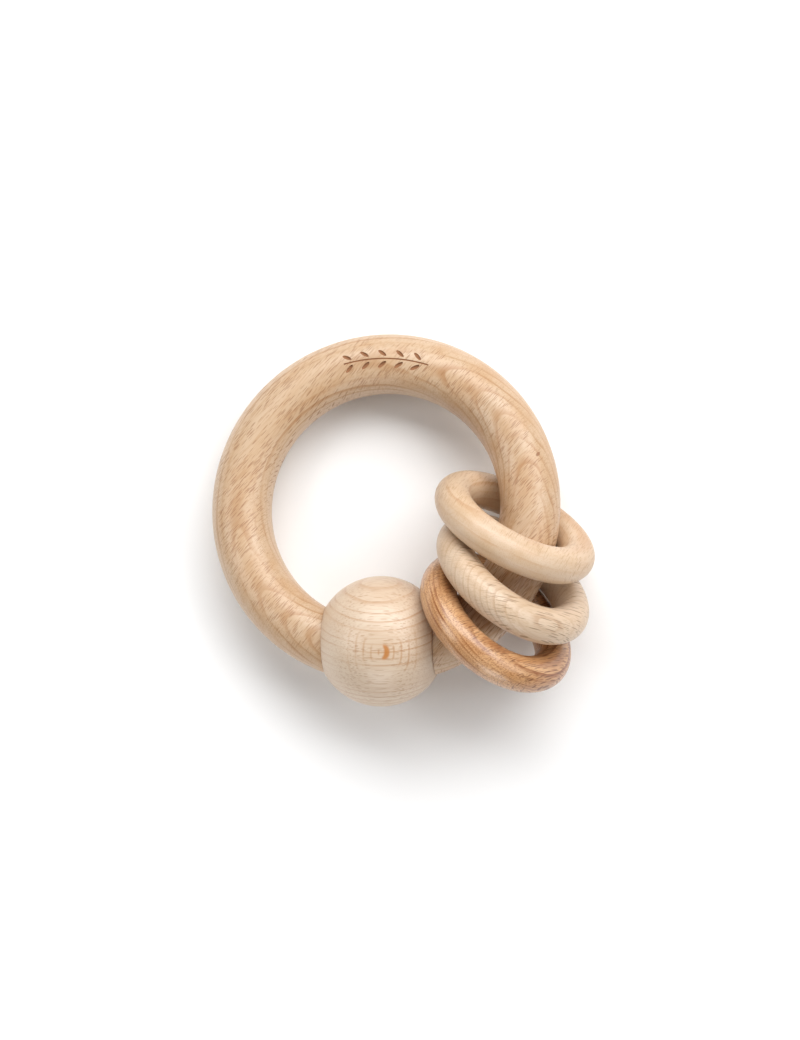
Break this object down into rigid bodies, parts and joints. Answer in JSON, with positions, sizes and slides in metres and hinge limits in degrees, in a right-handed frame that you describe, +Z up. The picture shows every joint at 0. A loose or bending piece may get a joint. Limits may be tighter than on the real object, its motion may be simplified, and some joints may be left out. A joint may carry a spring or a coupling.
{
  "type": "wooden baby rattle",
  "caption": "Turned wooden rattle: a large ring closed by a ball, with smaller rings threaded on it that slide round, spin and knock together.",
  "frame": {"origin": "on the table the rattle lies on, under the middle of the whole rattle's box", "axes": "+Z up from the table, the rattle's thinnest way; the ball is on the -Y side and the small rings on the +X side"},
  "size_m": [0.0874, 0.085, 0.0373],
  "materials": {
    "large_ring_wood": "oiled beech, satin",
    "ball_wood": "oiled pale beech, satin",
    "dowel_wood": "plain beech dowel",
    "upper_ring_wood": "oiled pale beech, satin",
    "middle_ring_wood": "oiled beech, satin",
    "lower_ring_wood": "oiled amber beech, semi-gloss"
  },
  "bodies": {
    "handle": {"large_ring": "large_ring_wood", "ball": "ball_wood", "dowel": "dowel_wood"},
    "upper_ring": {"small_ring_upper": "upper_ring_wood"},
    "middle_ring": {"small_ring_middle": "middle_ring_wood"},
    "lower_ring": {"small_ring_lower": "lower_ring_wood"}
  },
  "joints": [
    {"name": "lower_ring_travel", "type": "hinge", "parent": "handle", "child": "lower_ring", "pos_m": [-0.00397, 0.00268, 0.01194], "axis": [-0.1135, 0.0973, 0.9888], "range_deg": [0, 217]},
    {"name": "middle_ring_travel", "type": "hinge", "parent": "handle", "child": "middle_ring", "pos_m": [-0.00397, 0.00268, 0.01194], "axis": [-0.1135, 0.0973, 0.9888], "range_deg": [0, 217]},
    {"name": "upper_ring_travel", "type": "hinge", "parent": "handle", "child": "upper_ring", "pos_m": [-0.00397, 0.00268, 0.01194], "axis": [-0.1135, 0.0973, 0.9888], "range_deg": [0, 217]}
  ],
  "couplings": [
    {"joint": "middle_ring_travel", "follows": "lower_ring_travel", "ratio": 1},
    {"joint": "upper_ring_travel", "follows": "lower_ring_travel", "ratio": 1}
  ]
}
